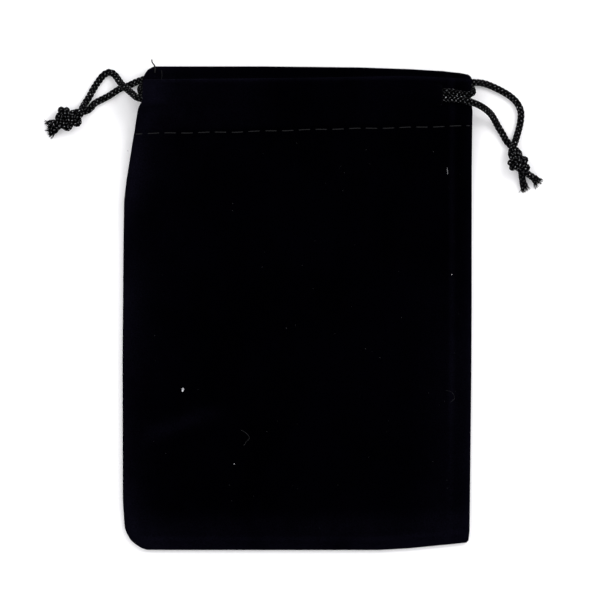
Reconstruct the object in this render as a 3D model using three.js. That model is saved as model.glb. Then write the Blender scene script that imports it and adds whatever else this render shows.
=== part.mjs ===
// A drawstring dice bag of black velvet, lying flat and empty on its back panel.
//
// Millimetres. +X to the right, +Y towards the mouth, +Z up. The origin is under the middle of the
// cloth, on the surface that the bag lies on.
//
// The velvet is folded at the left and sewn at the right and along the bottom. Its top is turned in
// and stitched down all round as a casing. Two braided cords run through the casing. Each goes in at
// one side, once round, and out at the same side, where its two ends share a knot, and each passes
// outside the casing at the other side.

import * as THREE from "three";

// ---------------------------------------------------------------- driving dimensions

const CLOTH = 0.8; // velvet with its pile
const CORD = 1.9; // diameter of the braided cord
const THREAD = 0.4; // sewing thread
const GAP = 0.3; // between solids that touch on the real bag
const TUNNEL = CORD + 0.2; // inside height of a casing
const CASING = 2 * CLOTH + TUNNEL; // thickness of a casing
const MOUTH = 4.5; // how far the two lips stand apart
const LIP = CASING + MOUTH; // height of the front casing's underside
const HIDDEN = 4; // how far the sewn edge of a casing reaches in before its tunnel opens

const FRONT_FOLD = 67.6; // where the front lip's fold lies along Y
const BACK_FOLD = 71.3; // and the back lip's
const CASING_LEFT = -43.6; // the casings' ends, which the cords leave by
const CASING_RIGHT = 42;
const FLARE = 7; // length of the front casing's wider end, where the cords cross
const CROSSING = 1.7; // how far that end widens up and down

// Edges of the sewn bag seen from above, as [y, x] down its sides and [x, y] across it.
const LEFT_EDGE = [[-71.3, -46], [-69.5, -48.4], [-67, -50.2], [-62, -51.5], [32, -51.1], [44, -49.6], [55.4, -47.8]];
const RIGHT_EDGE = [[-71.3, 50.2], [-60, 50.6], [0, 51.5], [57.3, 51.6]];
const BOTTOM_EDGE = [[-51.6, -71.3], [24, -71.3], [50.6, -69.5]];
const FRONT_SEAM = [[-48.4, 51.6], [51.6, 53.9]];
const BACK_SEAM = [[-48.4, 55.4], [51.6, 57.3]];

// Heights of the sewn edge and of the front panel's middle, as [y, z].
const EDGE_HEIGHT = [[-71.3, 1], [20, 1.05], [40, 2.2], [57.3, 5.6]];
const CROWN = [[-71.3, 6], [0, 6.6], [57.3, 9.6]];
const RISE = 17; // how far in from an edge the front panel reaches its full height
const LIFT = 9; // how far in from an edge the back panel comes down to the ground

// The cords run straight along X inside the casings, so that each can be drawn out.
const FRONT_Z = LIP + CASING / 2;
const BACK_Z = CASING / 2;
const GROUND_Z = CORD / 2 + 0.02;
const LEFT_Y = { front: 64, back: 68.1 };
const RIGHT_Y = { front: 61.9, back: 66 };

// ---------------------------------------------------------------- materials

const velvet = new THREE.MeshStandardMaterial({ color: 0x0a0910, roughness: 1, metalness: 0 });
const braid = new THREE.MeshStandardMaterial({ color: 0x0c0c0e, roughness: 0.6, metalness: 0 });
const thread = new THREE.MeshStandardMaterial({ color: 0x2a2a2e, roughness: 0.55, metalness: 0 });

// ---------------------------------------------------------------- small tools

const { clamp, lerp, degToRad } = THREE.MathUtils;
const bag = new THREE.Group();

function add(name, geometry, material) {
  const mesh = new THREE.Mesh(geometry, material);
  mesh.name = name;
  bag.add(mesh);
}

// The value at a place on a broken line through [place, value] pairs.
function along(pairs, place) {
  let i = 1;
  while (i < pairs.length - 1 && pairs[i][0] < place) i++;
  const [[a, low], [b, high]] = [pairs[i - 1], pairs[i]];
  return lerp(low, high, clamp((place - a) / (b - a), 0, 1));
}

// Triangles over rows of equally many points, which close on themselves where `around` is true.
function skin(faces, rows, count, around, flip) {
  const wide = around ? count : count - 1;
  for (let j = 0; j < rows.length - 1; j++)
    for (let i = 0; i < wide; i++) {
      const next = (i + 1) % count;
      const [a, b] = [rows[j] + i, rows[j] + next];
      const [c, d] = [rows[j + 1] + next, rows[j + 1] + i];
      faces.push(...(flip ? [a, c, b, a, d, c] : [a, b, c, a, c, d]));
    }
}

function geometryOf(points, faces) {
  const geometry = new THREE.BufferGeometry();
  geometry.setAttribute("position", new THREE.Float32BufferAttribute(points.flat(), 3));
  geometry.setIndex(faces);
  return geometry;
}

// A closed panel of cloth: `place(u, v)` gives its point's x, y and underside.
function panel(columns, rows, place) {
  const points = [];
  for (const raised of [CLOTH, 0])
    for (const v of rows)
      for (const u of columns) {
        const { x, y, under } = place(u, v);
        points.push([x, y, under + raised]);
      }
  const [wide, size] = [columns.length, columns.length * rows.length];
  const starts = rows.map((_, j) => j * wide);
  const faces = [];
  skin(faces, starts, wide, false, false);
  skin(faces, starts.map((start) => start + size), wide, false, true);
  skin(faces, [size, 0], wide, false, false);
  skin(faces, [size - wide, 2 * size - wide], wide, false, false);
  for (const start of starts.slice(0, -1)) {
    const [near, far] = [start, start + wide];
    faces.push(near, far, far + size, near, far + size, near + size);
    const [nearEnd, farEnd] = [near + wide - 1, far + wide - 1];
    faces.push(nearEnd, nearEnd + size, farEnd + size, nearEnd, farEnd + size, farEnd);
  }
  return geometryOf(points, faces);
}

// A sleeve along X through sections: `loops(x)` gives its outer and its inner loop of [y, z].
function sleeve(stations, loops) {
  const points = [];
  const starts = { outer: [], inner: [] };
  let count = 0;
  for (const x of stations) {
    const section = loops(x);
    count = section.outer.length;
    for (const side of ["outer", "inner"]) {
      starts[side].push(points.length);
      for (const [y, z] of section[side]) points.push([x, y, z]);
    }
  }
  const faces = [];
  const last = stations.length - 1;
  skin(faces, starts.outer, count, true, false);
  skin(faces, starts.inner, count, true, true);
  skin(faces, [starts.outer[0], starts.inner[0]], count, true, true);
  skin(faces, [starts.outer[last], starts.inner[last]], count, true, false);
  return geometryOf(points, faces);
}

// A tube of a given diameter along a curve.
function tube(curve, diameter, steps, sides = 8) {
  const section = new THREE.Shape();
  for (let i = 0; i < sides; i++) {
    const turn = (2 * Math.PI * i) / sides;
    const [x, y] = [(Math.cos(turn) * diameter) / 2, (Math.sin(turn) * diameter) / 2];
    if (i === 0) section.moveTo(x, y);
    else section.lineTo(x, y);
  }
  section.closePath();
  return new THREE.ExtrudeGeometry(section, { steps, extrudePath: curve, bevelEnabled: false });
}

const smooth = (points) =>
  new THREE.CatmullRomCurve3(points.map((point) => new THREE.Vector3(...point)), false, "centripetal");

// ---------------------------------------------------------------- the two panels

const COLUMNS = [0, 0.015, 0.04, 0.08, 0.13, 0.18, 0.35, 0.5, 0.65, 0.82, 0.87, 0.92, 0.96, 0.985, 1];
const ROWS = [0, 0.01, 0.03, 0.06, 0.1, 0.14, 0.3, 0.5, 0.7, 0.82, 0.92, 1];

// Where a share of the way across and up a panel lies, and how far that is from the sewn edges.
function spot(u, v, seam) {
  const low = along(BOTTOM_EDGE, lerp(-51.6, 51.6, u));
  const high = along(seam, lerp(-48.4, 51.6, u)) - GAP / 2;
  const y = lerp(low, high, v);
  const x = lerp(along(LEFT_EDGE, y), along(RIGHT_EDGE, y), u);
  const inward = Math.min(x - along(LEFT_EDGE, y), along(RIGHT_EDGE, y) - x, y - low);
  return { x, y, inward };
}

// The height of the underside of each panel, at a place that far in from the sewn edges.
function frontUnder(y, inward) {
  const full = 1 - (1 - Math.min(inward / RISE, 1)) ** 2;
  return lerp(along(EDGE_HEIGHT, y) + GAP / 2, along(CROWN, y) - CLOTH, full);
}

function backUnder(y, inward) {
  const lift = (1 - Math.min(inward / LIFT, 1)) ** 2;
  return (along(EDGE_HEIGHT, y) - GAP / 2 - CLOTH) * lift;
}

for (const [name, seam, under] of [["front_panel", FRONT_SEAM, frontUnder], ["back_panel", BACK_SEAM, backUnder]]) {
  const place = (u, v) => {
    const { x, y, inward } = spot(u, v, seam);
    return { x, y, under: under(y, inward) };
  };
  add(name, panel(COLUMNS, ROWS, place), velvet);
}

// ---------------------------------------------------------------- the casings

// One lip of the mouth: cloth turned in at the fold and stitched down, with a tunnel for the cords.
function casing(low, fold, seam, flare) {
  const loops = (x) => {
    const wider = CROSSING * flare * clamp((CASING_LEFT + FLARE - x) / FLARE, 0, 1);
    const [under, top] = [low - wider, low + CASING + wider];
    const sewn = along(seam, x) + GAP / 2;
    const turn = 1.2; // how far the fold's rounding reaches
    const inside = turn + CLOTH / 2;
    const open = sewn + HIDDEN;
    const outer = [
      [sewn, low],
      [fold - turn, under],
      [fold, under + turn],
      [fold, top - turn],
      [fold - turn, top],
      [open, top],
      [sewn, low + 2 * CLOTH],
    ];
    const inner = [
      [open, under + CLOTH],
      [fold - inside, under + CLOTH],
      [fold - CLOTH, under + inside],
      [fold - CLOTH, top - inside],
      [fold - inside, top - CLOTH],
      [open + CLOTH, top - CLOTH],
      [open, top - inside],
    ];
    return { outer, inner };
  };
  const stations = [CASING_LEFT, CASING_LEFT + FLARE, 0, CASING_RIGHT - GAP];
  return sleeve(stations, loops);
}

add("front_casing", casing(LIP, FRONT_FOLD, FRONT_SEAM, 1), velvet);
add("back_casing", casing(0, BACK_FOLD, BACK_SEAM, 0), velvet);

// Each corner of the mouth, between the lips: the fold at the left and the sewn end at the right.
function corner(left, right, low, high) {
  const [near, far] = [58.2, 69];
  const geometry = new THREE.BoxGeometry(right - left, far - near, high - low);
  geometry.translate((left + right) / 2, (near + far) / 2, (low + high) / 2);
  return geometry;
}

add("left_casing_end", corner(-44.8, -40.8, CASING + GAP, LIP - CROSSING - GAP), velvet);
add("right_casing_end", corner(CASING_RIGHT + GAP, 49.8, 5.3, 6.8), velvet);

// ---------------------------------------------------------------- the stitching

// The row of stitches that holds a casing down, on its upper side.
function casingStitching(low, seam) {
  const [inset, height] = [0.6, low + 2 * CLOTH + 0.9];
  const ends = [CASING_LEFT + 1, CASING_RIGHT - 1];
  const [from, to] = ends.map((x) => new THREE.Vector3(x, along(seam, x) + inset, height));
  return tube(new THREE.LineCurve3(from, to), THREAD, 1);
}

add("front_casing_stitching", casingStitching(LIP, FRONT_SEAM), thread);
add("back_casing_stitching", casingStitching(0, BACK_SEAM), thread);

// The stitches of the side and bottom seams, just inside the sewn edges, between the panels.
const SEAM_INSET = 1.6;

function seamStitching(places) {
  const points = places.map(([x, y]) => {
    const between = (frontUnder(y, SEAM_INSET) + backUnder(y, SEAM_INSET) + CLOTH) / 2;
    return [x, y, between];
  });
  return tube(smooth(points), THREAD, 3 * points.length);
}

const sideHeights = [-66, -45, -20, 0, 20, 28, 36, 42, 47, 52];
const bottomPlaces = [-44, -20, 0, 20, 34, 46];
const sideRow = sideHeights.map((y) => [along(RIGHT_EDGE, y) - SEAM_INSET, y]);
const bottomRow = bottomPlaces.map((x) => [x, along(BOTTOM_EDGE, x) + SEAM_INSET]);
add("side_seam_stitching", seamStitching(sideRow), thread);
add("bottom_seam_stitching", seamStitching(bottomRow), thread);

// ---------------------------------------------------------------- the cords

// Each cord is a free front end, the run through both casings, and a free back end.
const CORDS = {
  left_cord: {
    front: [
      [-64.4, 59.2, GROUND_Z],
      [-63.1, 60.6, GROUND_Z],
      [-61.9, 62.4, GROUND_Z],
      [-60.6, 64.8, GROUND_Z],
      [-58.9, 67.4, GROUND_Z],
      [-57.3, 69.3, GROUND_Z],
      [-55.6, 70.0, GROUND_Z],
      [-54.1, 69.1, 1.2],
      [-52.9, 67.4, 2.1],
      [-51.6, 65.8, 3.6],
      [-50.2, 64.6, 5.6],
      [-48.6, 63.2, 7.8],
      [-47.2, 62.1, 10.1],
      [-45.6, 61.7, 11],
    ],
    run: [
      [-45.0, 61.7, 11.08],
      [-43.4, 61.9, 11.2],
      [-41.4, 62.8, 11.05],
      [-39.4, 63.7, 10.5],
      [-37, LEFT_Y.front, FRONT_Z],
      [-34, LEFT_Y.front, FRONT_Z],
      [0, LEFT_Y.front, FRONT_Z],
      [40, LEFT_Y.front, FRONT_Z],
      [44, 63.95, FRONT_Z],
      [46, 63.75, 9.4],
      [48, 63.3, 8.5],
      [50, 63.1, 8.2],
      [51.3, 63.3, 7.4],
      [51.8, 64.0, 6.2],
      [51.6, 64.9, 5.0],
      [50.7, 65.8, 4.1],
      [49.4, 66.7, 3.7],
      [48, 67.5, 3.1],
      [46.4, 68.0, 2.3],
      [44.8, LEFT_Y.back, BACK_Z],
      [42, LEFT_Y.back, BACK_Z],
      [0, LEFT_Y.back, BACK_Z],
      [-40, LEFT_Y.back, BACK_Z],
      [-44.2, LEFT_Y.back, 1.75],
    ],
    back: [
      [-44.6, 68.1, 1.7],
      [-46.4, 67.6, 1.2],
      [-48.4, 66.8, GROUND_Z],
      [-50.3, 65.9, GROUND_Z],
      [-52.2, 65.3, GROUND_Z],
      [-54.2, 64.1, GROUND_Z],
      [-56.2, 62.8, GROUND_Z],
      [-58.2, 61.8, GROUND_Z],
      [-60.2, 60.7, GROUND_Z],
      [-61.9, 58.8, GROUND_Z],
      [-63.3, 57.3, GROUND_Z],
    ],
  },
  right_cord: {
    front: [
      [62.4, 48.3, GROUND_Z],
      [61.8, 49.7, GROUND_Z],
      [60.9, 51.4, GROUND_Z],
      [59.6, 53.5, 1.3],
      [58.4, 55.6, 2.4],
      [57.2, 57.4, 4],
      [55.4, 58.9, 6.2],
      [53.2, 60.1, 8.2],
      [50.6, 61.0, 9.6],
      [48.6, 61.5, FRONT_Z],
      [46.4, 61.8, FRONT_Z],
      [43.4, RIGHT_Y.front, FRONT_Z],
      [42.4, RIGHT_Y.front, FRONT_Z],
    ],
    run: [
      [42.0, RIGHT_Y.front, FRONT_Z],
      [38, RIGHT_Y.front, FRONT_Z],
      [0, RIGHT_Y.front, FRONT_Z],
      [-35, RIGHT_Y.front, FRONT_Z],
      [-38, RIGHT_Y.front, 9.8],
      [-40.3, RIGHT_Y.front, 9.15],
      [-42.6, RIGHT_Y.front, 8.95],
      [-44.4, 62.1, 8.5],
      [-45.7, 62.8, 7.6],
      [-46.3, 63.8, 6.5],
      [-46.5, 64.8, 5.2],
      [-46.2, 65.6, 3.8],
      [-45.2, RIGHT_Y.back, 2.5],
      [-43.8, RIGHT_Y.back, BACK_Z],
      [-41, RIGHT_Y.back, BACK_Z],
      [0, RIGHT_Y.back, BACK_Z],
      [42.0, RIGHT_Y.back, BACK_Z],
    ],
    back: [
      [42.4, RIGHT_Y.back, BACK_Z],
      [45, 66.05, 1.7],
      [48, 66.4, 1.2],
      [51, 66.9, GROUND_Z],
      [54.6, 66.8, GROUND_Z],
      [57.6, 65.8, GROUND_Z],
      [60.3, 64.5, GROUND_Z],
      [62.8, 63.0, GROUND_Z],
      [64.9, 61.0, GROUND_Z],
      [66.1, 58.5, GROUND_Z],
      [66.1, 55.8, GROUND_Z],
      [65.5, 52.9, GROUND_Z],
      [64.8, 50.4, GROUND_Z],
      [64.4, 48.3, GROUND_Z],
    ],
  },
};

for (const [cord, stretches] of Object.entries(CORDS))
  for (const [stretch, points] of Object.entries(stretches)) {
    const curve = smooth(points);
    const step = stretch === "run" ? 3.6 : 2.6;
    const steps = Math.min(80, Math.ceil(curve.getLength() / step));
    add(`${cord}_${stretch}`, tube(curve, CORD, steps), braid);
  }

// ---------------------------------------------------------------- the knots and the ends past them

const KNOT_PROFILE = [[0, -0.5], [0.3, -0.46], [0.46, -0.28], [0.48, -0.1], [0.43, 0.05], [0.47, 0.22], [0.36, 0.42], [0, 0.5]];
const KNOT_THICK = 5.6;
const TAIL_THICK = 2.4;

// A solid of revolution that lies on the ground along a heading, `long` from end to end.
function lying(profile, sides, { x, y, heading }, long, thick) {
  const points = profile.map(([radius, place]) => new THREE.Vector2(radius * thick, place * long));
  const geometry = new THREE.LatheGeometry(points, sides);
  geometry.rotateZ(degToRad(heading - 90));
  geometry.translate(x, y, thick / 2);
  return geometry;
}

// Where each knot lies, which way it points, from the strands to the cord's cut ends, and how long
// it and those ends are.
const ENDS = {
  left: { x: -66.9, y: 55.4, heading: 208, long: 6.4, tails: 5.2 },
  right: { x: 65.1, y: 43.6, heading: -75, long: 8, tails: 5 },
};

for (const [side, end] of Object.entries(ENDS)) {
  add(`${side}_knot`, lying(KNOT_PROFILE, 12, end, end.long, KNOT_THICK), braid);
  const out = end.long / 2 + GAP + end.tails / 2;
  const turn = degToRad(end.heading);
  const past = { x: end.x + out * Math.cos(turn), y: end.y + out * Math.sin(turn), heading: end.heading };
  const profile = [[0, -0.5], [0.5, -0.48], [0.5, 0.4], [0.3, 0.5], [0, 0.5]];
  add(`${side}_cord_tails`, lying(profile, 10, past, end.tails, TAIL_THICK), braid);
}

export default bag;
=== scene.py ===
"""The drawstring dice bag as it looks: velvet cloth, braided cords with their knots, and the stitching.

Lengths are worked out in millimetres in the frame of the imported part, and MM turns them into metres.
The bag lies on its back panel: +X right, +Y towards the mouth, +Z up.
"""

import math

import bpy
import numpy as np
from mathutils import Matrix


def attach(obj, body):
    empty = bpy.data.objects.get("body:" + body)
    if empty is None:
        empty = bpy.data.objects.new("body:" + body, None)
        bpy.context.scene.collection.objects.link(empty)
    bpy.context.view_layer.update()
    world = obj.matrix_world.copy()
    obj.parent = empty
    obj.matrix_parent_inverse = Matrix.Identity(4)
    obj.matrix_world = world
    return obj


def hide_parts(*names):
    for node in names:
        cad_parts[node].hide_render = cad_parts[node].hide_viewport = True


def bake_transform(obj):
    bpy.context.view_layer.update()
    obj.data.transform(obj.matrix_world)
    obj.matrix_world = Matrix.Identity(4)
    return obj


MM = 0.001
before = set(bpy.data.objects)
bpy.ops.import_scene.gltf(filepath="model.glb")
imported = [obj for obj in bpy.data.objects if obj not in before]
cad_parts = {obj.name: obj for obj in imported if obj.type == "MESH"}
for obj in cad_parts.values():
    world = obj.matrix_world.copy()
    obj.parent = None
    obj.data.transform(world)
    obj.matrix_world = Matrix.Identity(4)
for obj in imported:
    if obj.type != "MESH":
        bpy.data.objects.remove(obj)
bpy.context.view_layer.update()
rng = np.random.default_rng(7)

# ------------------------------------------------------------------ driving sizes, in mm

CLOTH = 0.6  # thickness of the velvet as seen, without the tips of its pile
LAYER = 0.62  # from one layer of cloth to the next where they are sewn together
CORD = 1.9  # diameter of a cord
SLIT_RIGHT = 42.3  # where the casings open at the right

# Outlines, as [place, value]: the sides by y, the bottom, the seams and the folds by x.
LEFT_EDGE = [
    [-71.3, -44.6], [-71.0, -45.7], [-70.1, -47.2], [-69.2, -48.4], [-68.3, -49.4], [-66.5, -50.4],
    [-64.8, -51.0], [-56.8, -51.5], [-15, -51.6], [20, -51.3], [31.9, -51.1], [37.8, -50.4],
    [51.6, -48.1], [57.0, -47.2], [59.2, -46.8], [61.0, -45.4], [67.9, -45.3], [69.0, -45.1],
    [70.2, -44.4], [70.9, -43.6], [71.4, -42.4],
]
RIGHT_EDGE = [
    [-69.5, 49.6], [-68.6, 50.4], [-66, 50.7], [-58, 50.8], [-20, 51.2], [0, 51.3], [40, 51.3],
    [58, 51.4], [61.5, 51.2], [63.4, 50.7], [65.6, 51.0], [67.3, 51.4], [68.4, 50.9], [69.4, 49.6],
    [70.0, 47.6],
]
BOTTOM = [[-51.6, -71.3], [24, -71.3], [33, -70.8], [43.5, -69.8], [49.4, -69.2], [51.6, -68.9]]
FRONT_SEAM = [[-48.4, 51.6], [-20, 52.0], [10, 52.9], [30, 53.3], [51.6, 54.0]]
BACK_SEAM = [[-48.4, 55.4], [51.6, 57.3]]
FRONT_FOLD = [[-45, 67.2], [0, 67.6], [30, 68.2], [42, 67.9], [51.6, 67.5]]
BACK_FOLD = [[-45, 71.4], [-10, 71.4], [18, 71.1], [33, 70.6], [43, 70.0], [48, 69.4], [51.6, 68.6]]
EDGE_HEIGHT = [[-71.3, 1.0], [20, 1.05], [40, 2.3], [57.3, 5.6], [61, 6.1], [72, 6.1]]
CROWN = [[-71.3, 5.6], [0, 6.2], [40, 7.4], [57.3, 9.2]]

# The cords' routes, in mm, as the part has them.
GROUND = CORD / 2 + 0.02
FRONT_Z = 10.05
BACK_Z = 1.85
LEFT_Y = {"front": 64.0, "back": 68.1}
RIGHT_Y = {"front": 61.9, "back": 66.0}
ROUTES = {
    "left_cord_front": [
        [-64.4, 59.2, GROUND], [-63.1, 60.6, GROUND], [-61.9, 62.4, GROUND], [-60.6, 64.8, GROUND],
        [-58.9, 67.4, GROUND], [-57.3, 69.3, GROUND], [-55.6, 70.0, GROUND], [-54.1, 69.1, 1.2],
        [-52.9, 67.4, 2.1], [-51.6, 65.8, 3.6], [-50.2, 64.6, 5.6], [-48.6, 63.2, 7.8],
        [-47.2, 62.1, 10.1], [-45.6, 61.7, 11],
    ],
    "left_cord_run": [
        [-45.0, 61.7, 11.08], [-43.4, 61.9, 11.2], [-41.4, 62.8, 11.05], [-39.4, 63.7, 10.5],
        [-37, LEFT_Y["front"], FRONT_Z], [-34, LEFT_Y["front"], FRONT_Z], [0, LEFT_Y["front"], FRONT_Z],
        [40, LEFT_Y["front"], FRONT_Z], [44, 63.95, FRONT_Z], [46, 63.75, 9.4], [48, 63.3, 8.5],
        [50, 63.1, 8.2], [51.3, 63.3, 7.4], [51.8, 64.0, 6.2], [51.6, 64.9, 5.0], [50.7, 65.8, 4.1],
        [49.4, 66.7, 3.7], [48, 67.5, 3.1], [46.4, 68.0, 2.3], [44.8, LEFT_Y["back"], BACK_Z],
        [42, LEFT_Y["back"], BACK_Z], [0, LEFT_Y["back"], BACK_Z], [-40, LEFT_Y["back"], BACK_Z],
        [-44.2, LEFT_Y["back"], 1.75],
    ],
    "left_cord_back": [
        [-44.6, 68.1, 1.7], [-46.4, 67.6, 1.2], [-48.4, 66.8, GROUND], [-50.3, 65.9, GROUND],
        [-52.2, 65.3, GROUND], [-54.2, 64.1, GROUND], [-56.2, 62.8, GROUND], [-58.2, 61.8, GROUND],
        [-60.2, 60.7, GROUND], [-61.9, 58.8, GROUND], [-63.3, 57.3, GROUND],
    ],
    "right_cord_front": [
        [62.4, 48.3, GROUND], [61.8, 49.7, GROUND], [60.9, 51.4, GROUND], [59.6, 53.5, 1.3],
        [58.4, 55.6, 2.4], [57.2, 57.4, 4], [55.4, 58.9, 6.2], [53.2, 60.1, 8.2], [50.6, 61.0, 9.6],
        [48.6, 61.5, FRONT_Z], [46.4, 61.8, FRONT_Z], [43.4, RIGHT_Y["front"], FRONT_Z],
        [42.4, RIGHT_Y["front"], FRONT_Z],
    ],
    "right_cord_run": [
        [42.0, RIGHT_Y["front"], FRONT_Z], [38, RIGHT_Y["front"], FRONT_Z],
        [0, RIGHT_Y["front"], FRONT_Z], [-35, RIGHT_Y["front"], FRONT_Z], [-38, RIGHT_Y["front"], 9.8],
        [-40.3, RIGHT_Y["front"], 9.15], [-42.6, RIGHT_Y["front"], 8.95], [-44.4, 62.1, 8.5],
        [-45.7, 62.8, 7.6], [-46.3, 63.8, 6.5], [-46.5, 64.8, 5.2], [-46.2, 65.6, 3.8],
        [-45.2, RIGHT_Y["back"], 2.5], [-43.8, RIGHT_Y["back"], BACK_Z],
        [-41, RIGHT_Y["back"], BACK_Z], [0, RIGHT_Y["back"], BACK_Z], [42.0, RIGHT_Y["back"], BACK_Z],
    ],
    "right_cord_back": [
        [42.4, RIGHT_Y["back"], BACK_Z], [45, 66.05, 1.7], [48, 66.4, 1.2], [51, 66.9, GROUND],
        [54.6, 66.8, GROUND], [57.6, 65.8, GROUND], [60.3, 64.5, GROUND], [62.8, 63.0, GROUND],
        [64.9, 61.0, GROUND], [66.1, 58.5, GROUND], [66.1, 55.8, GROUND], [65.5, 52.9, GROUND],
        [64.8, 50.4, GROUND], [64.4, 48.3, GROUND],
    ],
}

# Each knot's middle, the way it points from the strands to the cut ends and its turn about that line,
# in degrees, how drawn out its wraps are, how near its strands come to each other, and how far the
# front and the back strand's cut ends reach and lean.
KNOTS = {
    "left": {
        "at": (-68.2, 56.0), "heading": 208, "roll": 20,
        "long": 1.0, "tight": 1.6, "ends": ((5.3, -4), (5.8, 2)),
    },
    "right": {
        "at": (65.4, 42.9), "heading": -75, "roll": 315,
        "long": 1.4, "tight": 1.5, "ends": ((7.2, 6), (7.2, 26)),
    },
}

# ------------------------------------------------------------------ small tools


def along(pairs, place):
    """The value at each place on the line through [place, value] pairs."""
    at, value = np.array(pairs, float).T
    return np.interp(place, at, value)


def step(low, high, value):
    """0 as far as `low`, 1 from `high` on, and smooth between. `low` may be the greater of them."""
    t = np.clip((np.asarray(value, float) - low) / (high - low), 0, 1)
    return t * t * (3 - 2 * t)


def hump(value, middle, width):
    """1 at the middle, falling off to nothing at about twice the width."""
    return np.exp(-(((value - middle) / width) ** 2))


def unit(v):
    """The vectors again, with a length of 1."""
    return v / np.maximum(np.linalg.norm(v, axis=-1, keepdims=True), 1e-12)


def spline(points, gap):
    """Centripetal Catmull-Rom points about `gap` apart through the given ones."""
    p = np.array(points, float)
    p = np.vstack([2 * p[0] - p[1], p, 2 * p[-1] - p[-2]])
    knots = np.concatenate([[0], np.cumsum(np.linalg.norm(np.diff(p, axis=0), axis=1) ** 0.5)])
    line = []
    for i in range(1, len(p) - 2):
        t0, t1, t2, t3 = knots[i - 1 : i + 3]
        count = max(2, math.ceil(np.linalg.norm(p[i + 1] - p[i]) / (gap / 4)))
        for t in np.linspace(t1, t2, count, endpoint=False):
            a1 = (t1 - t) / (t1 - t0) * p[i - 1] + (t - t0) / (t1 - t0) * p[i]
            a2 = (t2 - t) / (t2 - t1) * p[i] + (t - t1) / (t2 - t1) * p[i + 1]
            a3 = (t3 - t) / (t3 - t2) * p[i + 1] + (t - t2) / (t3 - t2) * p[i + 2]
            b1 = (t2 - t) / (t2 - t0) * a1 + (t - t0) / (t2 - t0) * a2
            b2 = (t3 - t) / (t3 - t1) * a2 + (t - t1) / (t3 - t1) * a3
            line.append((t2 - t) / (t2 - t1) * b1 + (t - t1) / (t2 - t1) * b2)
    line.append(p[-2])
    return evenly(np.array(line), gap)


def run_of(line):
    """How far each point of a line lies along it."""
    return np.concatenate([[0], np.cumsum(np.linalg.norm(np.diff(line, axis=0), axis=1))])


def evenly(line, gap):
    """The line again, with points about `gap` apart."""
    run = run_of(line)
    at = np.linspace(0, run[-1], max(3, round(run[-1] / gap) + 1))
    return np.stack([np.interp(at, run, line[:, k]) for k in range(3)], axis=1)


def smoothed(line, times):
    """The line again, with its corners rounded off a little more each time."""
    line = line.copy()
    for _ in range(times):
        line[1:-1] = 0.25 * line[:-2] + 0.5 * line[1:-1] + 0.25 * line[2:]
    return line


def carried_frame(line):
    """A tangent and two sideways directions at each point, turning as little as they can."""
    tangent = unit(np.gradient(line, axis=0))
    side = np.zeros_like(line)
    side[0] = unit(np.cross(tangent[0], [0.3, 0.2, 1]))
    for i in range(1, len(line)):
        kept = side[i - 1] - tangent[i] * (side[i - 1] @ tangent[i])
        side[i] = unit(kept)
    return tangent, side, np.cross(tangent, side)


def tube_faces(stations, sides):
    """The faces of a closed tube of so many stations, each a ring of so many points."""
    faces = []
    for j in range(stations - 1):
        for i in range(sides):
            k = (i + 1) % sides
            faces.append((j * sides + i, j * sides + k, (j + 1) * sides + k, (j + 1) * sides + i))
    last = (stations - 1) * sides
    faces.append(tuple(range(sides))[::-1])
    faces.append(tuple(last + i for i in range(sides)))
    return faces


class Build:
    """One mesh as it grows: its vertices and faces, for cloth its normals, and for cloth and cords its
    shade, which is how much each vertex catches the light, from 0 to 1."""

    def __init__(self):
        self.points = []
        self.faces = []
        self.normals = []
        self.shade = []
        self.count = 0

    def put(self, points, faces, normals=None):
        points = np.asarray(points, float).reshape(-1, 3)
        self.points.append(points)
        self.faces += [tuple(int(i) + self.count for i in f) for f in faces]
        if normals is not None:
            self.normals.append(np.asarray(normals, float).reshape(-1, 3))
        self.count += len(points)

    def tube(self, line, radius, sides):
        """A closed tube. `radius` may be one number or one for each point."""
        line = np.asarray(line, float)
        radius = np.broadcast_to(np.asarray(radius, float), len(line))
        _, side, other = carried_frame(line)
        turn = np.arange(sides) * 2 * math.pi / sides
        rings = (
            line[:, None]
            + side[:, None] * (radius[:, None] * np.cos(turn))[..., None]
            + other[:, None] * (radius[:, None] * np.sin(turn))[..., None]
        )
        self.put(rings, tube_faces(len(line), sides))

    def mesh(self, name, material):
        mesh = bpy.data.meshes.new(name)
        points = np.vstack(self.points) * MM
        mesh.from_pydata(points.tolist(), [], self.faces)
        mesh.validate()
        mesh.shade_smooth()
        if self.normals:
            mesh.normals_split_custom_set_from_vertices(unit(np.vstack(self.normals)).tolist())
        if self.shade:
            shade = mesh.attributes.new("shade", "FLOAT", "POINT")
            shade.data.foreach_set("value", np.concatenate(self.shade).astype(np.float32))
        mesh.materials.append(material)
        piece = bpy.data.objects.new(name, mesh)
        bpy.context.scene.collection.objects.link(piece)
        return piece


def gather(piece):
    """Bakes a piece's placement into its mesh."""
    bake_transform(piece)


# ------------------------------------------------------------------ the velvet's form, heights in mm

# How the cloth rises, from 0 at an edge to 1 at the crown, by the distance from that edge.
FOLD_RISE = [[0, 0], [0.3, 0.22], [0.9, 0.38], [2.0, 0.52], [4, 0.66], [8, 0.83], [14, 0.96], [20, 1]]
SEAM_RISE = [
    [0, 0], [0.4, 0.16], [1.3, 0.33], [3, 0.42], [5.2, 0.48], [5.9, 0.475], [6.6, 0.42], [9, 0.6],
    [13, 0.84], [18, 0.97], [24, 1],
]
BOTTOM_RISE = [
    [0, 0], [0.4, 0.18], [1.1, 0.34], [2.7, 0.45], [3.3, 0.44], [3.9, 0.39], [7, 0.64], [12, 0.9],
    [18, 1],
]

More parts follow.
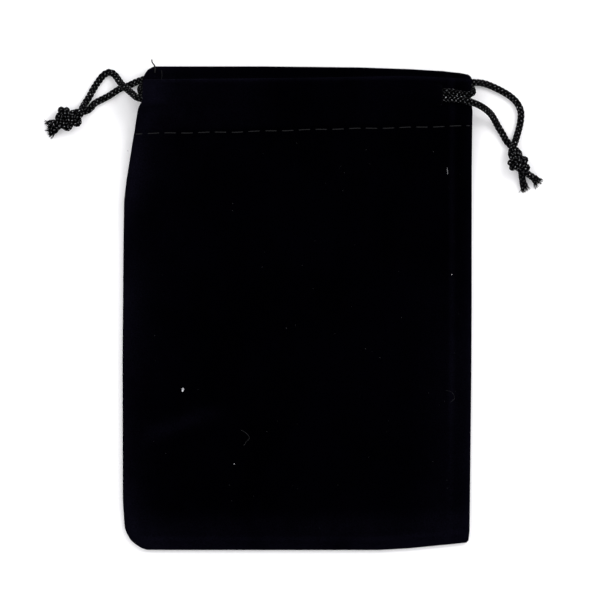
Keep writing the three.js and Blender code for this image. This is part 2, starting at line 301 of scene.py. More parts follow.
# Mid-heights of the casings' layers where the cords leave them, by x.
OVER_CORDS = 11.42
UNDER_CORDS = 8.68
RIGHT_UPPER = [[42.3, 8.7], [46, 8.7], [48.4, 8.6], [50, 7.9], [51, 6.9], [51.6, 6.4]]
RIGHT_NOTCH = [[42.3, 8.6], [44, 8.5], [46, 7.95], [48, 7.1], [50, 6.75], [51, 6.1]]
RIGHT_LIP = [[42.3, 8.8], [45, 8.2], [48, 7.3], [50, 6.7], [51.4, 6.3]]
RIGHT_BACK = [
    [42.3, 3.25], [44.8, 3.3], [46.4, 3.75], [48, 4.55], [49.4, 5.1], [50.7, 5.5], [51.6, 5.7],
]
LEFT_INNER = [
    [-45.4, 6.75], [-44.4, 7.1], [-42.6, 7.5], [-40.3, 7.75], [-38, 8.4], [-36, UNDER_CORDS],
]
LEFT_BACK_INNER = [[-45.4, 4.0], [-44, 3.65], [-42, 3.35], [-40, 3.22]]
LEFT_OUTER = [[-45.4, 12.5], [-41.4, 12.45], [-39.2, 11.9], [-37, OVER_CORDS]]
FRONT_SLIT = (62.95, 2.7, 3.0)  # middle, half length and height of the opening in the front casing
BACK_SLIT = (67.05, 2.75, 2.65)
CASING_ROOF = [[60.0, 10.6], [61.0, 11.35], [62.9, 11.3], [64.6, 11.4], [65.6, 11.1], [67.2, 9.9]]  # by y
SLIT_LIP = 38.5  # where the casings begin to open towards the slit
REST = 0.34  # height of the back's mid surface where it lies on the ground
ROW_SINKS = 0.62  # how deep the front's row of stitches draws in the cloth
BACK_ROW_SINKS = 0.42
STITCH = 4.95  # from one stitch to the next


def soft(pairs, place, blur=0.5):
    """along(), with its corners rounded off over about `blur`."""
    return sum(along(pairs, place + blur * k) for k in (-1, -0.5, 0, 0.5, 1)) / 5


def distances(x, y):
    """How far a point lies from the left fold, the right seam and the bottom seam."""
    return x - along(LEFT_EDGE, y), along(RIGHT_EDGE, y) - x, y - along(BOTTOM, x)


def form(x, y):
    """0 round the edges and 1 at the crown."""
    left, right, low = distances(x, y)
    rises = [
        soft(table, np.maximum(d, 0), 0.3) - table[1][1] * 0.4 * hump(np.maximum(d, 0), 0, 0.15)
        for table, d in ((FOLD_RISE, left), (SEAM_RISE, right), (BOTTOM_RISE, low))
    ]
    return np.clip(rises[0], 0, 1) * np.clip(rises[1], 0, 1) * np.clip(rises[2], 0, 1)


def crease(x, y):
    """How far along and how far off the faint crease at the lower left a point lies, and its strength."""
    onward = (x + 50) * 0.946 + (y + 40) * 0.324
    off = -(x + 50) * 0.324 + (y + 40) * 0.946
    return onward, off, step(1, 8, onward) * (1 - step(18, 34, onward))


def painted_sheen(x, y, casing):
    """How much painted sheen the velvet's colour gets: 0 in the middle, 1 at folds and ridges."""
    left, right, low = (np.maximum(d, 0) for d in distances(x, y))
    seam, fold = along(FRONT_SEAM, x), along(FRONT_FOLD, x)
    # Each term adds painted sheen near the left fold, the right seam's ridge, the bottom seam, the crease
    # and the casing's fold.
    lifted = 0.09 + 0.8 * np.exp(-left / 3.5) + 0.2 * np.exp(-left / 14) * step(-10, 60, y)
    lifted += 0.34 * hump(right, 5.7, 0.8) * (1 - 0.7 * step(-20, -60, y)) + 0.5 * np.exp(-right / 1.0)
    lifted += 0.14 * step(22, 6, right) * step(30, -10, y)
    lifted += 0.4 * np.exp(-low / 2) + 0.28 * step(13, 6, low) + 0.18 * hump(low, 3.2, 0.6)
    _, off, strength = crease(x, y)
    lifted += 0.42 * hump(off, 0.8, 2.4) * strength
    lifted += np.where(casing, 0.22 * np.exp(-left / 12) + 0.42 * hump(y, fold, 0.7) + 0.04, 0)
    # Painted shade: less painted sheen, so darker velvet, along the front's row of stitches.
    lifted -= 0.12 * hump(y, seam, 1.2)
    return np.clip(lifted, 0, 1)


def arch(slit, y):
    """How far the lip of a casing's opening stands off the cloth beyond it."""
    middle, half, height = slit
    t = np.clip(np.abs(y - middle) / half, 0, 1)
    return height * (1 - t**3) ** (1 / 3)


def sag(x, y):
    """The soft unevenness of cloth that lies empty, and one faint crease in its lower left."""
    waves = 0.17 * np.sin(0.105 * x + 0.045 * y + 1) * np.sin(0.062 * y - 0.03 * x + 2)
    waves += 0.07 * np.sin(0.3 * x - 0.16 * y + 0.7) * np.sin(0.21 * y + 1.9)
    onward, off, strength = crease(x, y)
    return waves + 0.26 * hump(off, 0.4 * np.sin(onward / 5), 1.5) * strength


def ripple(x, row, top):
    """Small upright ripples in a casing, gathered by its stitches and spread out towards the fold."""
    swell = 0.09 * np.sin(x / 1.23 + 0.6 * np.sin(x / 6)) + 0.07 * np.sin(x / 0.71 + 2)
    pinch = 0.10 * np.cos(2 * math.pi * x / STITCH)
    return swell * step(0, 0.4, row) * (1 - step(0.55, 1, row)) * top + pinch * hump(row, 0.05, 0.13)


def front_outer(x, y, beyond):
    """The front's outer layer. `beyond` picks the far side of the opening where x is just at it."""
    seam, fold = along(FRONT_SEAM, x), along(FRONT_FOLD, x)
    edge = along(EDGE_HEIGHT, y) + LAYER / 2
    shape = form(x, y)
    panel = edge + (along(CROWN, y) - edge) * shape + sag(x, y) * shape
    row = (y - seam) / (fold - seam)
    roof = soft(CASING_ROOF, y, 0.7)
    roof += np.where(y > 60, soft(LEFT_OUTER, x) - OVER_CORDS, 0) * (1 - step(65, 67.5, y))
    beside = along(RIGHT_UPPER, x) + (along(RIGHT_NOTCH, x) - along(RIGHT_UPPER, x)) * step(61.4, 63.0, y)
    beside += (along(RIGHT_LIP, x) - along(RIGHT_NOTCH, x)) * step(64.8, 66.8, y)
    lip = roof + (beside + arch(FRONT_SLIT, y) - roof) * step(SLIT_LIP, SLIT_RIGHT, x)
    casing = np.where(beyond, beside, lip)
    left, right, _ = distances(x, y)
    near = step(0, 9, left)
    weight = step(58.4, 60.8, y) * (1 - near) + step(seam, 60.6, y) * near
    z = panel + (casing - panel) * weight
    z -= ROW_SINKS * hump(y, seam, 1.0) * step(0, 3, right)
    return z + ripple(x, row, np.where(beyond, 0.3, 1.0))


def front_inner(x, y, beyond):
    """The layer of the front that is turned in, which leaves room for the cords."""
    below = front_outer(x, y, beyond) - LAYER
    floor = soft(LEFT_INNER, x)
    away = step(along(FRONT_SEAM, x), 59.5, y) * np.where(beyond, 0, 1) * (1 - step(66.4, 68.5, y))
    return below + (np.minimum(floor, below) - below) * away


def back_outer(x, y, beyond):
    """The back's outer layer, which lies on the ground."""
    seam = along(BACK_SEAM, x)
    edge = along(EDGE_HEIGHT, y) - LAYER / 2
    panel = edge + (REST - edge) * form(x, y)
    row = (y - seam) / (along(BACK_FOLD, x) - seam)
    near = step(0, 9, distances(x, y)[0])
    lifted = along(RIGHT_BACK, x)
    lip = 0.5 + (lifted - arch(BACK_SLIT, y) - 0.5) * step(SLIT_LIP, SLIT_RIGHT, x)
    casing = np.where(beyond, lifted, lip)
    weight = step(58.6, 61.4, y) * (1 - near) + step(seam, 64, y) * near
    z = panel + (casing - panel) * weight
    z += BACK_ROW_SINKS * hump(y, seam, 1.0)
    return np.maximum(z + 0.5 * np.abs(ripple(x, row, 0.5)), 0.32)


def back_inner(x, y, beyond):
    """The layer of the back that is turned in."""
    above = back_outer(x, y, beyond) + LAYER
    roof = soft(LEFT_BACK_INNER, x)
    away = step(along(BACK_SEAM, x), 63.5, y) * np.where(beyond, 0, 1)
    return above + (np.maximum(roof, above) - above) * away


# ------------------------------------------------------------------ the velvet's meshes


HEM = 2.2  # how far the cloth that is turned in goes on past its row of stitches
HALF = 45.4  # the columns' places are worked out on a half about this wide


def spread(edges, near, far):
    """Rising distances from 0 to `edges[1]`: `near` apart up to `edges[0]`, and `far` apart after it."""
    close = np.linspace(0, edges[0], round(edges[0] / near) + 1)
    rest = np.linspace(edges[0], edges[1], round((edges[1] - edges[0]) / far) + 1)
    return np.concatenate([close, rest[1:]])


def cloth_rows(rows_in_casing):
    """The rows of one panel's path, each as its zone and its share of the way through that zone."""
    zones = (
        ("panel", spread((6, 118), 0.45, 1.3) / 118),
        ("casing", np.linspace(0, 1, rows_in_casing)[1:]),
        ("turn", np.linspace(0, 1, 8)[1:-1]),
        ("inside", np.linspace(0, 1, 26)),
    )
    return [(zone, share) for zone, shares in zones for share in shares]


def row_places(zone, share, x, seam_of, fold_of, turn_back):
    """The y of one row at each x: up the panel and the casing, over the fold, and down inside."""
    seam, low = along(seam_of, x), along(BOTTOM, x)
    top = along(fold_of, x) - turn_back
    if zone == "panel":
        return low + (seam - low) * share
    if zone == "casing":
        return seam + (top - seam) * share
    if zone == "turn":
        return top + turn_back * np.sin(math.pi * share)
    return top + (seam - HEM - top) * share


def cloth(seam_of, fold_of, outer, inner, turn_back, rows_in_casing):
    """One panel as a grid of points on its mid surface, and the number of the column at its slit.

    The column after that one lies in the same place, and is the far side of the slit."""
    rows = cloth_rows(rows_in_casing)
    left = spread((10, HALF), 0.5, 1.0) / HALF - 1  # from the left edge, -1, to the middle, 0
    mid = np.linspace(0, 1, 50)[1:]  # from the middle to the slit
    past = np.linspace(0, 1, 20)  # from the slit to the right edge
    column = np.concatenate([left, mid, past])
    part = np.repeat([0, 1, 2], [len(left), len(mid), len(past)])
    beyond = part == 2

    def across(low, high):
        """Each column's x in a row whose edges are at `low` and `high`."""
        beyond_slit = SLIT_RIGHT + column * (high - SLIT_RIGHT)
        return np.choose(part, [-column * low, column * SLIT_RIGHT, beyond_slit])

    grid = np.zeros((len(rows), len(column), 3))
    for r, (zone, share) in enumerate(rows):
        x = across(-48.0, SLIT_RIGHT + 9)
        for _ in range(4):
            y = row_places(zone, share, x, seam_of, fold_of, turn_back)
            x = across(along(LEFT_EDGE, y), along(RIGHT_EDGE, y))
        if zone in ("panel", "casing"):
            z = outer(x, y, beyond)
        elif zone == "inside":
            z = inner(x, y, beyond)
        else:
            top = along(fold_of, x) - turn_back
            z_out, z_in = outer(x, top, beyond), inner(x, top, beyond)
            z = z_out + (z_in - z_out) * (1 - math.cos(math.pi * share)) / 2
        grid[r] = np.stack([x, y, z], axis=1)
    return grid, len(left) + len(mid) - 1


def border_of(quads):
    """The quads' edges that only one of them has, as {from: to}."""
    edges = {(q[i], q[(i + 1) % 4]) for q in quads for i in range(4)}
    return {i: j for i, j in sorted(edges) if (j, i) not in edges}


def thick_cloth(grid, slit_column, up):
    """Both halves of a panel as closed cloth. `up` is 1 where the grid's own normal points outwards."""
    rows, columns = grid.shape[:2]
    index = np.arange(rows * columns).reshape(rows, columns)
    points = grid.reshape(-1, 3)
    same = np.linalg.norm(grid[:, slit_column] - grid[:, slit_column + 1], axis=1) < 0.02
    index[same, slit_column + 1] = index[same, slit_column]
    quads = np.array([
        (index[r, c], index[r, c + 1], index[r + 1, c + 1], index[r + 1, c])
        for c in range(columns - 1) if c != slit_column
        for r in range(rows - 1)
    ])
    a, b, c, d = (points[quads[:, k]] for k in range(4))
    facing = np.cross(c - a, d - b) * up
    normal = np.zeros_like(points)
    for k in range(4):
        np.add.at(normal, quads[:, k], facing)
    normal = unit(normal)
    centre = points[quads].mean(1)[:, 0]
    return {
        side: closed_cloth(points, normal, quads[keep], up)
        for side, keep in (("left", centre < 0), ("right", centre > 0))
    }


def closed_cloth(points, normal, quads, up):
    """Cloth of its full thickness on a sheet of quads, with a rounded rim round all its edges."""
    used = np.unique(quads)
    renumber = np.full(len(points), -1)
    renumber[used] = np.arange(len(used))
    quads = renumber[quads]
    if up < 0:
        quads = quads[:, ::-1]
    p, n = points[used], normal[used]
    build = Build()
    build.put(p + n * CLOTH / 2, quads, n)
    build.put(p - n * CLOTH / 2, quads[:, ::-1], -n)
    onward = border_of(quads)
    outward = {}
    for i, j in onward.items():
        away = unit(np.cross(p[j] - p[i], n[i]))
        outward[i] = outward.get(i, 0) + away
        outward[j] = outward.get(j, 0) + away
    border = list(outward)
    place = {i: build.count + k for k, i in enumerate(border)}
    away = unit(np.array([outward[i] for i in border]))
    at_middle = np.abs(p[border][:, 0]) < 1e-6  # where the two halves meet, the rim stays flat
    rim = p[border] + away * np.where(at_middle, 0, CLOTH * 0.42)[:, None]
    walls = []
    for i, j in onward.items():
        walls.append((j, i, place[i], place[j]))
        walls.append((place[j], place[i], len(p) + i, len(p) + j))
    build.put(rim, [], away)
    build.faces += [tuple(int(v) for v in wall) for wall in walls]
    # The velvet's painted sheen, kept as its shade attribute.
    painted_sheen_amount = painted_sheen(p[:, 0], p[:, 1], p[:, 1] > along(FRONT_SEAM, p[:, 0]))
    build.shade = [painted_sheen_amount, painted_sheen_amount, painted_sheen_amount[border]]
    return build


HALVES = {
    "front": thick_cloth(*cloth(FRONT_SEAM, FRONT_FOLD, front_outer, front_inner, 0.55, 40), 1),
    "back": thick_cloth(*cloth(BACK_SEAM, BACK_FOLD, back_outer, back_inner, 1.1, 36), -1),
}

# ------------------------------------------------------------------ the cords

YARNS = 4  # yarns each way round the braid
LAY = 1.25  # from one yarn to the next along the cord
RELIEF = 0.3  # how deep the braid is
PROUD = 0.015  # how far the crowns of the yarns stand out past the cord's diameter
SWELL = 0.11  # how much the free ends swell out of a casing, in radius
KNOT_HEIGHT = 2.8  # of a knot's middle above the surface it lies on


def braid(build, line, radius, sides):
    """A closed braided cord: two sets of yarns, wound opposite ways, that pass over and under."""
    run = run_of(line)
    radius = np.broadcast_to(np.asarray(radius, float), len(line))
    _, side, other = carried_frame(line)
    turn = np.arange(sides) / sides
    u = YARNS * turn[None] + run[:, None] / LAY
    v = YARNS * turn[None] - run[:, None] / LAY
    over = np.where((np.round(u) + np.round(v)) % 2 == 0, 1.0, -1.0)  # 1 where the first set is on top
    across_u = np.cos(math.pi * (u - np.round(u)))
    across_v = np.cos(math.pi * (v - np.round(v)))
    one = np.sqrt(np.maximum(across_u, 0)) * (0.66 + 0.34 * over * across_v)
    two = np.sqrt(np.maximum(across_v, 0)) * (0.66 - 0.34 * over * across_u)
    reach = radius[:, None] + PROUD - RELIEF * (1 - np.maximum(one, two))
    angle = turn * 2 * math.pi
    rings = (
        line[:, None]
        + side[:, None] * (reach * np.cos(angle))[..., None]
        + other[:, None] * (reach * np.sin(angle))[..., None]
    )
    build.put(rings, tube_faces(len(line), sides))
    # Painted light: the shade attribute is high on each yarn's crown, for a painted highlight, and low in
    # the grooves, for painted shade.
    lit_one = np.maximum(across_u, 0) * (0.8 + 0.2 * over * across_v)
    lit_two = np.maximum(across_v, 0) * (0.8 - 0.2 * over * across_u)
    build.shade.append(np.where(over > 0, lit_one, lit_two).ravel())


def knot_path(side, strand):
    """Control points of one strand through its overhand knot, and on to its cut end.

    Two strands are tied as one: each goes through the core, turns back, wraps once round both, and
    passes through the core again beside its first pass."""
    facts = KNOTS[side]
    heading = math.radians(facts["heading"])
    ahead = np.array([math.cos(heading), math.sin(heading), 0])
    across = np.array([-math.sin(heading), math.cos(heading), 0])
    up = np.array([0, 0, 1.0])
    middle = np.array([*facts["at"], KNOT_HEIGHT])
    roll = math.radians(facts["roll"])

    def at(a, rho, phi):
        turn = phi + roll
        return middle + ahead * a + across * rho * math.cos(turn) + up * rho * math.sin(turn)

    stretch = facts["long"]
    shift = 0.88 if strand else -0.88
    core = 1.02
    first = math.radians(225 if strand else 315)
    second = math.radians(135 if strand else 45)
    points = [at(-1.9 * stretch, core, first), at(0.2, core, first)]
    points.append(at(1.7 * stretch + shift * 0.4, 1.25, first - 0.5))
    start = first - 1.0
    for k in range(9):
        share = k / 8
        points.append(at(stretch * (1.75 - 3.4 * share) + shift, 1.95, start - 2 * math.pi * share))
    points.append(at(-2.3 * stretch + shift * 0.6, 1.45, second + 0.4))
    points += [at(-1.2, core, second), at(0.8, core, second), at(2.5 * stretch, core * 0.9, second)]
    reach, lean = facts["ends"][strand]
    lean = math.radians(lean)
    way = ahead * math.cos(lean) + across * math.sin(lean)
    offset = across * (0.8 if strand else -0.8)
    middle = middle * np.array([1, 1, 0])
    near = 2.5 * stretch
    for share, height in ((0.4, 2.0), (0.72, 1.2), (1, GROUND)):
        points.append(middle + way * (near + (reach - near) * share) + offset + up * height)
    return points


def settled(one, two, free_from, apart):
    """Both strands of a knot, drawn tight: each straightens itself, and none comes closer than `apart`.

    The points before `free_from` and the last few, at the cut ends, stay where they are."""
    gap, steps = 0.42, 260
    lines = [evenly(one, gap), evenly(two, gap)]
    counts = [len(line) for line in lines]
    owner = np.repeat([0, 1], counts)
    place = np.concatenate([np.arange(n) for n in counts])
    loose = np.concatenate([
        (np.arange(n) * gap > start) & (np.arange(n) < n - 4) for n, start in zip(counts, free_from)
    ])
    beside = (owner[:, None] == owner[None]) & (np.abs(place[:, None] - place[None]) < 7)
    points = np.vstack(lines)
    for _ in range(steps):
        away = points[:, None] - points[None]
        reach = np.maximum(np.linalg.norm(away, axis=2), 0.05)
        push = np.where((reach < apart) & ~beside, (apart - reach) / reach, 0)
        move = 0.22 * (away * push[..., None]).sum(1)
        ease = np.zeros_like(points)
        ease[1:-1] = 0.5 * (points[:-2] + points[2:]) - points[1:-1]
        longest = np.maximum(np.linalg.norm(move, axis=1, keepdims=True), 1e-9)
        points = points + (move * np.minimum(1, 0.3 / longest) + 0.55 * ease) * loose[:, None]
        points[:, 2] = np.maximum(points[:, 2], GROUND - 0.02)
    return points[: counts[0]], points[counts[0] :]


def strand_lines(side):
    """The whole ways of a drawstring's two free ends, from their openings to their cut ends."""
    ways, starts = [], []
    for strand, name in ((0, "front"), (1, "back")):
        route = np.array(ROUTES[f"{side}_cord_{name}"], float)
        if abs(route[0][0]) > abs(route[-1][0]):
            route = route[::-1]
        lead = spline(route[:-1], 0.17)
        starts.append(run_of(lead)[-1] + 0.4)
        ways.append(spline(np.vstack([route[:-1], knot_path(side, strand)]), 0.17))
    tied = settled(*ways, starts, KNOTS[side]["tight"])
    return [evenly(smoothed(evenly(line, 0.17), 8), 0.17) for line in tied]


def strand_radius(side, line):
    """The cord's radius along a free end: full, then pressed in the knot, and full again after it."""
    middle = np.array([*KNOTS[side]["at"], KNOT_HEIGHT])
    away = np.linalg.norm(line - middle, axis=1)
    flare = 0.22 * step(12, 0, np.arange(len(line))[::-1])
    pressed = 0.3 * KNOTS[side]["tight"] + 0.52
    return pressed + (CORD / 2 + SWELL - pressed) * step(2.6, 4.2, away) + flare


def fray(side, strand, line):
    """Loose yarn ends that fan out from a strand's cut end."""
    build = Build()
    end, way = line[-1], unit(line[-1] - line[-8])
    across = unit(np.cross(way, [0, 0, 1]))
    for _ in range(44):
        spot = rng.uniform(-0.72, 0.72, 2)
        root = end - way * 0.5 + across * spot[0] + np.array([0, 0, spot[1] * 0.8])
        lean = spot[0] * 0.9 + rng.normal(0, 0.22)
        length = rng.uniform(0.9, 2.2)
        tip = root + way * length + across * lean * length
        tip[2] = max(0.16, root[2] * 0.5 + rng.uniform(-0.3, 0.35))
        bend = (root + tip) / 2 + across * rng.normal(0, 0.16) + np.array([0, 0, 0.15])
        hair = spline([root, bend, tip], 0.2)
        hair[:, 2] = np.maximum(hair[:, 2], 0.12)
        build.tube(hair, np.linspace(0.12, 0.05, len(hair)), 6)
    return build


# ------------------------------------------------------------------ the sewing thread

THREAD = 0.16  # radius of the sewing thread as seen
DASH = 3.5  # how much of each stitch lies on the outside


def stitches(outer_of, seam_of, up, low, high):
    """One thread that lies on the cloth for a dash and goes into it between dashes, from low to high."""
    build = Build()
    x = np.arange(low, high, 0.22)
    y = along(seam_of, x) + 0.09 * np.sin(x / 2.3)
    mid = outer_of(x, y, x > SLIT_RIGHT)
    place = (x + 1000 * STITCH) % STITCH
    shown = step(0.1, 0.55, place) * (1 - step(DASH, DASH + 0.45, place))
    off = CLOTH / 2 + 0.12
    z = mid + up * (off * shown - 0.15 * (1 - shown))
    build.tube(smoothed(np.stack([x, y, z], axis=1), 1), THREAD, 8)
    return build


def inner_seam(points):
    """A hidden seam's thread, in short stitches through the two layers that it joins."""
    line = spline(points, 0.7)
    line[:, 2] += 0.22 * np.where(np.arange(len(line)) // 2 % 2, 1, -1)
    build = Build()
    build.tube(line, THREAD * 0.8, 6)
    return build


# ------------------------------------------------------------------ materials


def material(name, roughness, specular):
    made = bpy.data.materials.new(name)
    made.use_nodes = True
    shader = made.node_tree.nodes["Principled BSDF"]
    shader.inputs["Roughness"].default_value = roughness
    shader.inputs["Specular IOR Level"].default_value = specular
    return made, made.node_tree, shader


def noise(tree, scale, detail=2.0, rough=0.5, stretch=(1, 1, 1)):
    place = tree.nodes.new("ShaderNodeTexCoord")
    fit = tree.nodes.new("ShaderNodeMapping")
    fit.inputs["Scale"].default_value = stretch
    made = tree.nodes.new("ShaderNodeTexNoise")
    made.inputs["Scale"].default_value = scale
    made.inputs["Detail"].default_value = detail
    made.inputs["Roughness"].default_value = rough
    tree.links.new(place.outputs["Object"], fit.inputs["Vector"])
    tree.links.new(fit.outputs["Vector"], made.inputs["Vector"])
    return made.outputs["Fac"]


def ramp(tree, value, stops):
    made = tree.nodes.new("ShaderNodeValToRGB")
    band = made.color_ramp
    while len(band.elements) < len(stops):
        band.elements.new(0.5)
    for element, (position, colour) in zip(band.elements, stops):
        element.position = position
        element.color = (*colour, 1)
    tree.links.new(value, made.inputs["Fac"])
    return made.outputs["Color"]


def shade_of(tree):
    """How much painted light the mesh's points are given, from 0 to 1."""
    made = tree.nodes.new("ShaderNodeAttribute")
    made.attribute_name = "shade"
    return made.outputs["Fac"]


def multiplied(tree, one, two):
    made = tree.nodes.new("ShaderNodeMix")
    made.data_type = "RGBA"
    made.blend_type = "MULTIPLY"
    made.inputs["Factor"].default_value = 1.0
    tree.links.new(one, made.inputs[6])  # the two colours, A and B
    tree.links.new(two, made.inputs[7])
    return made.outputs[2]


def bump(tree, shader, height, strength, distance, under=None):
    made = tree.nodes.new("ShaderNodeBump")
    made.inputs["Strength"].default_value = strength
    made.inputs["Distance"].default_value = distance
    tree.links.new(height, made.inputs["Height"])
    if under is not None:
        tree.links.new(under, made.inputs["Normal"])
    tree.links.new(made.outputs["Normal"], shader.inputs["Normal"])
    return made.outputs["Normal"]


def velvet_finish():
    made, tree, shader = material("velvet", 0.95, 0.0)
    shader.inputs["Sheen Weight"].default_value = 0.016
    shader.inputs["Sheen Roughness"].default_value = 0.2
    shader.inputs["Sheen Tint"].default_value = (0.74, 0.72, 1.0, 1)
    crush = noise(tree, 55, 4, 0.62, (1, 0.8, 1))
    pile = noise(tree, 2600, 3, 0.7)
    # Painted sheen: tone lightens the base colour where the shade attribute is high, at folds, ridges and
    # edges, and darkens it along the row of stitches; patch and tuft are random tone.
    tone = ramp(tree, shade_of(tree), [(0.08, (0.00012, 0.0001, 0.0004)), (0.75, (0.0011, 0.001, 0.0024))])
    patch = ramp(tree, crush, [(0.34, (0.6, 0.6, 0.65)), (0.66, (1.5, 1.5, 1.4))])
    tuft = ramp(tree, pile, [(0.3, (0.4, 0.4, 0.45)), (0.72, (2.0, 1.95, 1.9))])
    colour = multiplied(tree, multiplied(tree, tone, patch), tuft)
    tree.links.new(colour, shader.inputs["Base Color"])
    coarse = bump(tree, shader, crush, 0.35, 0.0006)
    bump(tree, shader, pile, 0.75, 0.00022, coarse)
    return made


def cord_finish():
    made, tree, shader = material("braided_cord", 0.5, 0.004)
    # Painted light on the braid: yarn gives painted shade in the grooves and painted highlights on the yarn
    # crowns, and glint adds painted glints.
    groove_shade, flank_shading, crown = (0.0002, 0.0002, 0.0004), (0.0035, 0.0035, 0.0045), (0.105, 0.105, 0.11)
    yarn = ramp(tree, shade_of(tree), [(0.58, groove_shade), (0.82, flank_shading), (0.95, crown)])
    fibre = noise(tree, 2500, 3, 0.6)
    glint = ramp(tree, fibre, [(0.45, (0.08, 0.08, 0.08)), (0.56, (0.8, 0.8, 0.8)), (0.66, (4, 4, 4))])
    tree.links.new(multiplied(tree, yarn, glint), shader.inputs["Base Color"])
    bump(tree, shader, fibre, 0.7, 0.00012)
    return made


def thread_finish():
    made, tree, shader = material("thread", 0.55, 0.12)
    twist = noise(tree, 4200, 2, 0.6)
    tone = ramp(tree, twist, [(0.35, (0.002, 0.002, 0.0024)), (0.7, (0.0085, 0.0085, 0.01))])
    tree.links.new(tone, shader.inputs["Base Color"])
    bump(tree, shader, twist, 0.5, 0.00005)
    return made


def lint_finish(name, dark, light):
    made, tree, shader = material(name, 0.9, 0.1)
    stops = [(0.3, (dark, dark, dark * 1.07)), (0.7, (light, light, light * 1.07))]
    tone = ramp(tree, noise(tree, 1500), stops)
    tree.links.new(tone, shader.inputs["Base Color"])
    return made


VELVET, BRAID, SEWING = velvet_finish(), cord_finish(), thread_finish()
LINT, DUST = lint_finish("lint", 0.28, 0.6), lint_finish("dust", 0.008, 0.05)

# ------------------------------------------------------------------ the pieces

for face, halves in HALVES.items():
    for side, build in halves.items():
        piece = build.mesh(f"{face}_velvet_{side}", VELVET)
        gather(piece)
        corner = (f"{side}_casing_end",) if face == "front" else ()
        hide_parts(f"{face}_panel", f"{face}_casing", *corner)

for side, way, span in (("left", -1, (-47.6, 0.0)), ("right", 1, (0.0, 51.0))):
    for face, outer_of, seam_of, up in (
        ("front", front_outer, FRONT_SEAM, 1),
        ("back", back_outer, BACK_SEAM, -1),
    ):
        piece = stitches(outer_of, seam_of, up, *span).mesh(f"{face}_stitches_{side}", SEWING)
        gather(piece)
        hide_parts(f"{face}_casing_stitching")

side_places = [-67.5, -60, -45, -30, -15, 0, 15, 30, 40, 48, 54, 57.5]
side_seam = inner_seam(
    [[float(along(RIGHT_EDGE, y)) - 1.1, y, float(along(EDGE_HEIGHT, y))] for y in side_places]
).mesh("side_seam_thread", SEWING)
gather(side_seam)
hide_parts("side_seam_stitching")
bottom_places = [-44, -35, -20, -5, 10, 25, 38, 47]
bottom_seam = inner_seam(
    [[x, float(along(BOTTOM, x)) + 1.1, 1.0] for x in bottom_places]
).mesh("bottom_seam_thread", SEWING)
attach(bottom_seam, "pouch")
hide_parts("bottom_seam_stitching")

for side in ("left", "right"):
    body = f"{side}_drawstring"
    run = Build()
    before, after = ROUTES[f"{side}_cord_front"][-1:], ROUTES[f"{side}_cord_back"][:1]
    braid(run, spline(before + ROUTES[f"{side}_cord_run"] + after, 0.24), CORD / 2, 24)
    piece = run.mesh(f"{side}_cord_in_casing", BRAID)
    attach(piece, body)
    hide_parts(f"{side}_cord_run")
    for strand, name, line in zip((0, 1), ("front", "back"), strand_lines(side)):
        build = Build()
        braid(build, line, strand_radius(side, line), 30)
        piece = build.mesh(f"{side}_cord_{name}_end", BRAID)
        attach(piece, body)
        tied = (f"{side}_knot", f"{side}_cord_tails") if strand == 0 else (f"{side}_cord_tails",)
        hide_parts(f"{side}_cord_{name}", *tied)
        frayed = fray(side, strand, line).mesh(f"{side}_cord_{name}_fray", BRAID)
        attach(frayed, body)


def on_front(x, y, off):
    """A point on the front's pile, `off` above its mid surface."""
    place = np.array([float(x)]), np.array([float(y)])
    z = front_outer(*place, place[0] > SLIT_RIGHT)[0]
    return [x, y, z + CLOTH / 2 + off]


# Lint caught in the pile: tufts by place, size and lean, hairs by their points, and scattered dust.
TUFTS = (
    (-33.9, -24.0, 1.15, 0.34, 80),
    (-18.7, -45.9, 0.34, 0.1, 40),
    (45.6, 10.0, 0.34, 0.1, 90),
    (-50.2, 46.6, 0.5, 0.12, 120),
)
HAIRS = (
    ([(-16.8, -35.9), (-15.3, -36.7), (-14.2, -38.2), (-15.2, -39.4), (-15.9, -40.5)], 0.03),
    ([(43.9, -24.2), (45.6, -24.8), (46.4, -26.5), (45.2, -27.8)], 0.02),
)
lint, dust = Build(), Build()
splinter = [on_front(x, y, 0.05) for x, y in ((44.2, 41.6), (44.3, 40.6), (44.4, 39.6))]
lint.tube(spline(splinter, 0.2), 0.03, 6)
for x, y, long, wide, lean in TUFTS:
    turn = math.radians(lean)
    half = np.array([math.cos(turn), math.sin(turn)]) * long / 2
    tuft = spline([on_front(x + k * half[0], y + k * half[1], 0.05) for k in (-1, -0.3, 0.4, 1)], 0.12)
    girth = wide * np.sqrt(np.maximum(0.06, 1 - np.linspace(-1, 1, len(tuft)) ** 2))
    lint.tube(tuft, girth * (1 + 0.2 * rng.normal(size=len(tuft))), 8)
for points, girth in HAIRS:
    dust.tube(spline([on_front(x, y, 0.06) for x, y in points], 0.2), girth, 6)
for _ in range(60):
    x, y = rng.uniform(-47, 48), rng.uniform(-67, 50)
    turn = rng.uniform(0, math.pi)
    half = np.array([math.cos(turn), math.sin(turn)]) * rng.uniform(0.06, 0.2)
    ends = [on_front(x + k * half[0], y + k * half[1], 0.05 - 0.03 * abs(k)) for k in (-1, 0, 1)]
    dust.tube(np.array(ends), rng.uniform(0.02, 0.045), 5)
for build, name, finish in ((lint, "lint", LINT), (dust, "dust", DUST)):
    piece = build.mesh(name, finish)
    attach(piece, "pouch")

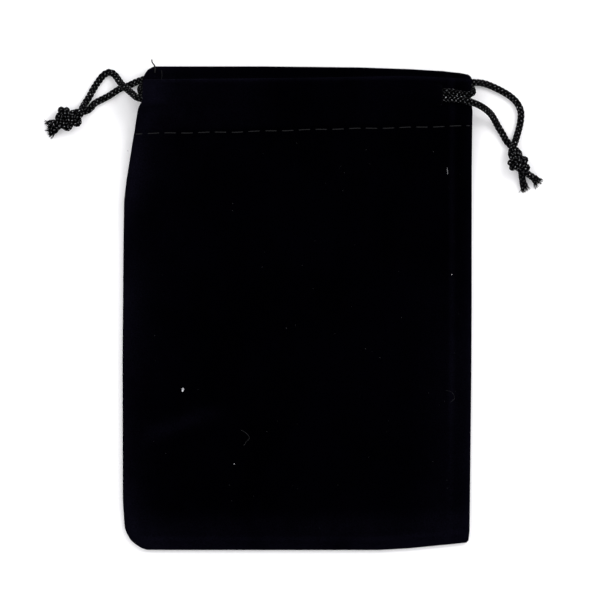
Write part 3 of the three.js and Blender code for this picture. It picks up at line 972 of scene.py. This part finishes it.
# Loose ends of sewing thread at the mouth's left corner: one stands out, one lies on the back's hem.
LOOSE = (
    (
        [[-42.2, 69.6, 4.3], [-42.1, 71.2, 4.5], [-42.4, 72.0, 4.4], [-43.0, 72.8, 4.2], [-43.1, 73.6, 4.0]],
        0.2,
    ),
    ([[-40.3, 67.6, 4.1], [-40.1, 68.9, 4.2], [-40.25, 70.4, 4.1]], 0.08),
)
loose = Build()
for points, girth in LOOSE:
    loose.tube(spline(points, 0.25), girth, 7)
piece = loose.mesh("loose_threads", SEWING)
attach(piece, "left_corner")

# ------------------------------------------------------------------ floor, light and camera

floor_mesh = bpy.data.meshes.new("floor")
floor_mesh.from_pydata([(-3, -3, 0), (3, -3, 0), (3, 3, 0), (-3, 3, 0)], [], [(0, 1, 2, 3)])
floor = bpy.data.objects.new("floor", floor_mesh)
bpy.context.scene.collection.objects.link(floor)
pale, _, pale_shader = material("pale_floor", 1.0, 0.0)
pale_shader.inputs["Base Color"].default_value = (0.93, 0.925, 0.945, 1)
floor_mesh.materials.append(pale)

world = bpy.data.worlds.new("studio")
bpy.context.scene.world = world
world.use_nodes = True
world.node_tree.nodes["Background"].inputs["Color"].default_value = (1, 1, 1, 1)
world.node_tree.nodes["Background"].inputs["Strength"].default_value = 1.12


def soft_light(name, place, size, power):
    lamp = bpy.data.lights.new(name, "AREA")
    lamp.shape = "SQUARE"
    lamp.size = size
    lamp.energy = power
    holder = bpy.data.objects.new(name, lamp)
    bpy.context.scene.collection.objects.link(holder)
    holder.location = place
    x, y, z = place
    tilt = math.atan2(math.hypot(x, y), z)
    holder.rotation_euler = (tilt, 0, math.atan2(-y, -x) - math.pi / 2)


soft_light("key", (0.6, 0.5, 0.8), 0.5, 4.5)
soft_light("fill", (-0.5, 0.6, 0.9), 0.7, 2.0)

camera_data = bpy.data.cameras.new("camera")
camera = bpy.data.objects.new("camera", camera_data)
bpy.context.scene.collection.objects.link(camera)
VIEW_HEIGHT = 1.5
VIEW_WIDTH = 0.1773  # what the photograph's frame takes in, across the bag
camera_data.sensor_width = 36
camera_data.lens = 36 * (VIEW_HEIGHT - 0.005) / VIEW_WIDTH
camera_data.clip_end = 20
camera.location = (0.00071, 0.0025, VIEW_HEIGHT)
bpy.context.scene.camera = camera
bpy.context.scene.view_settings.view_transform = "Standard"
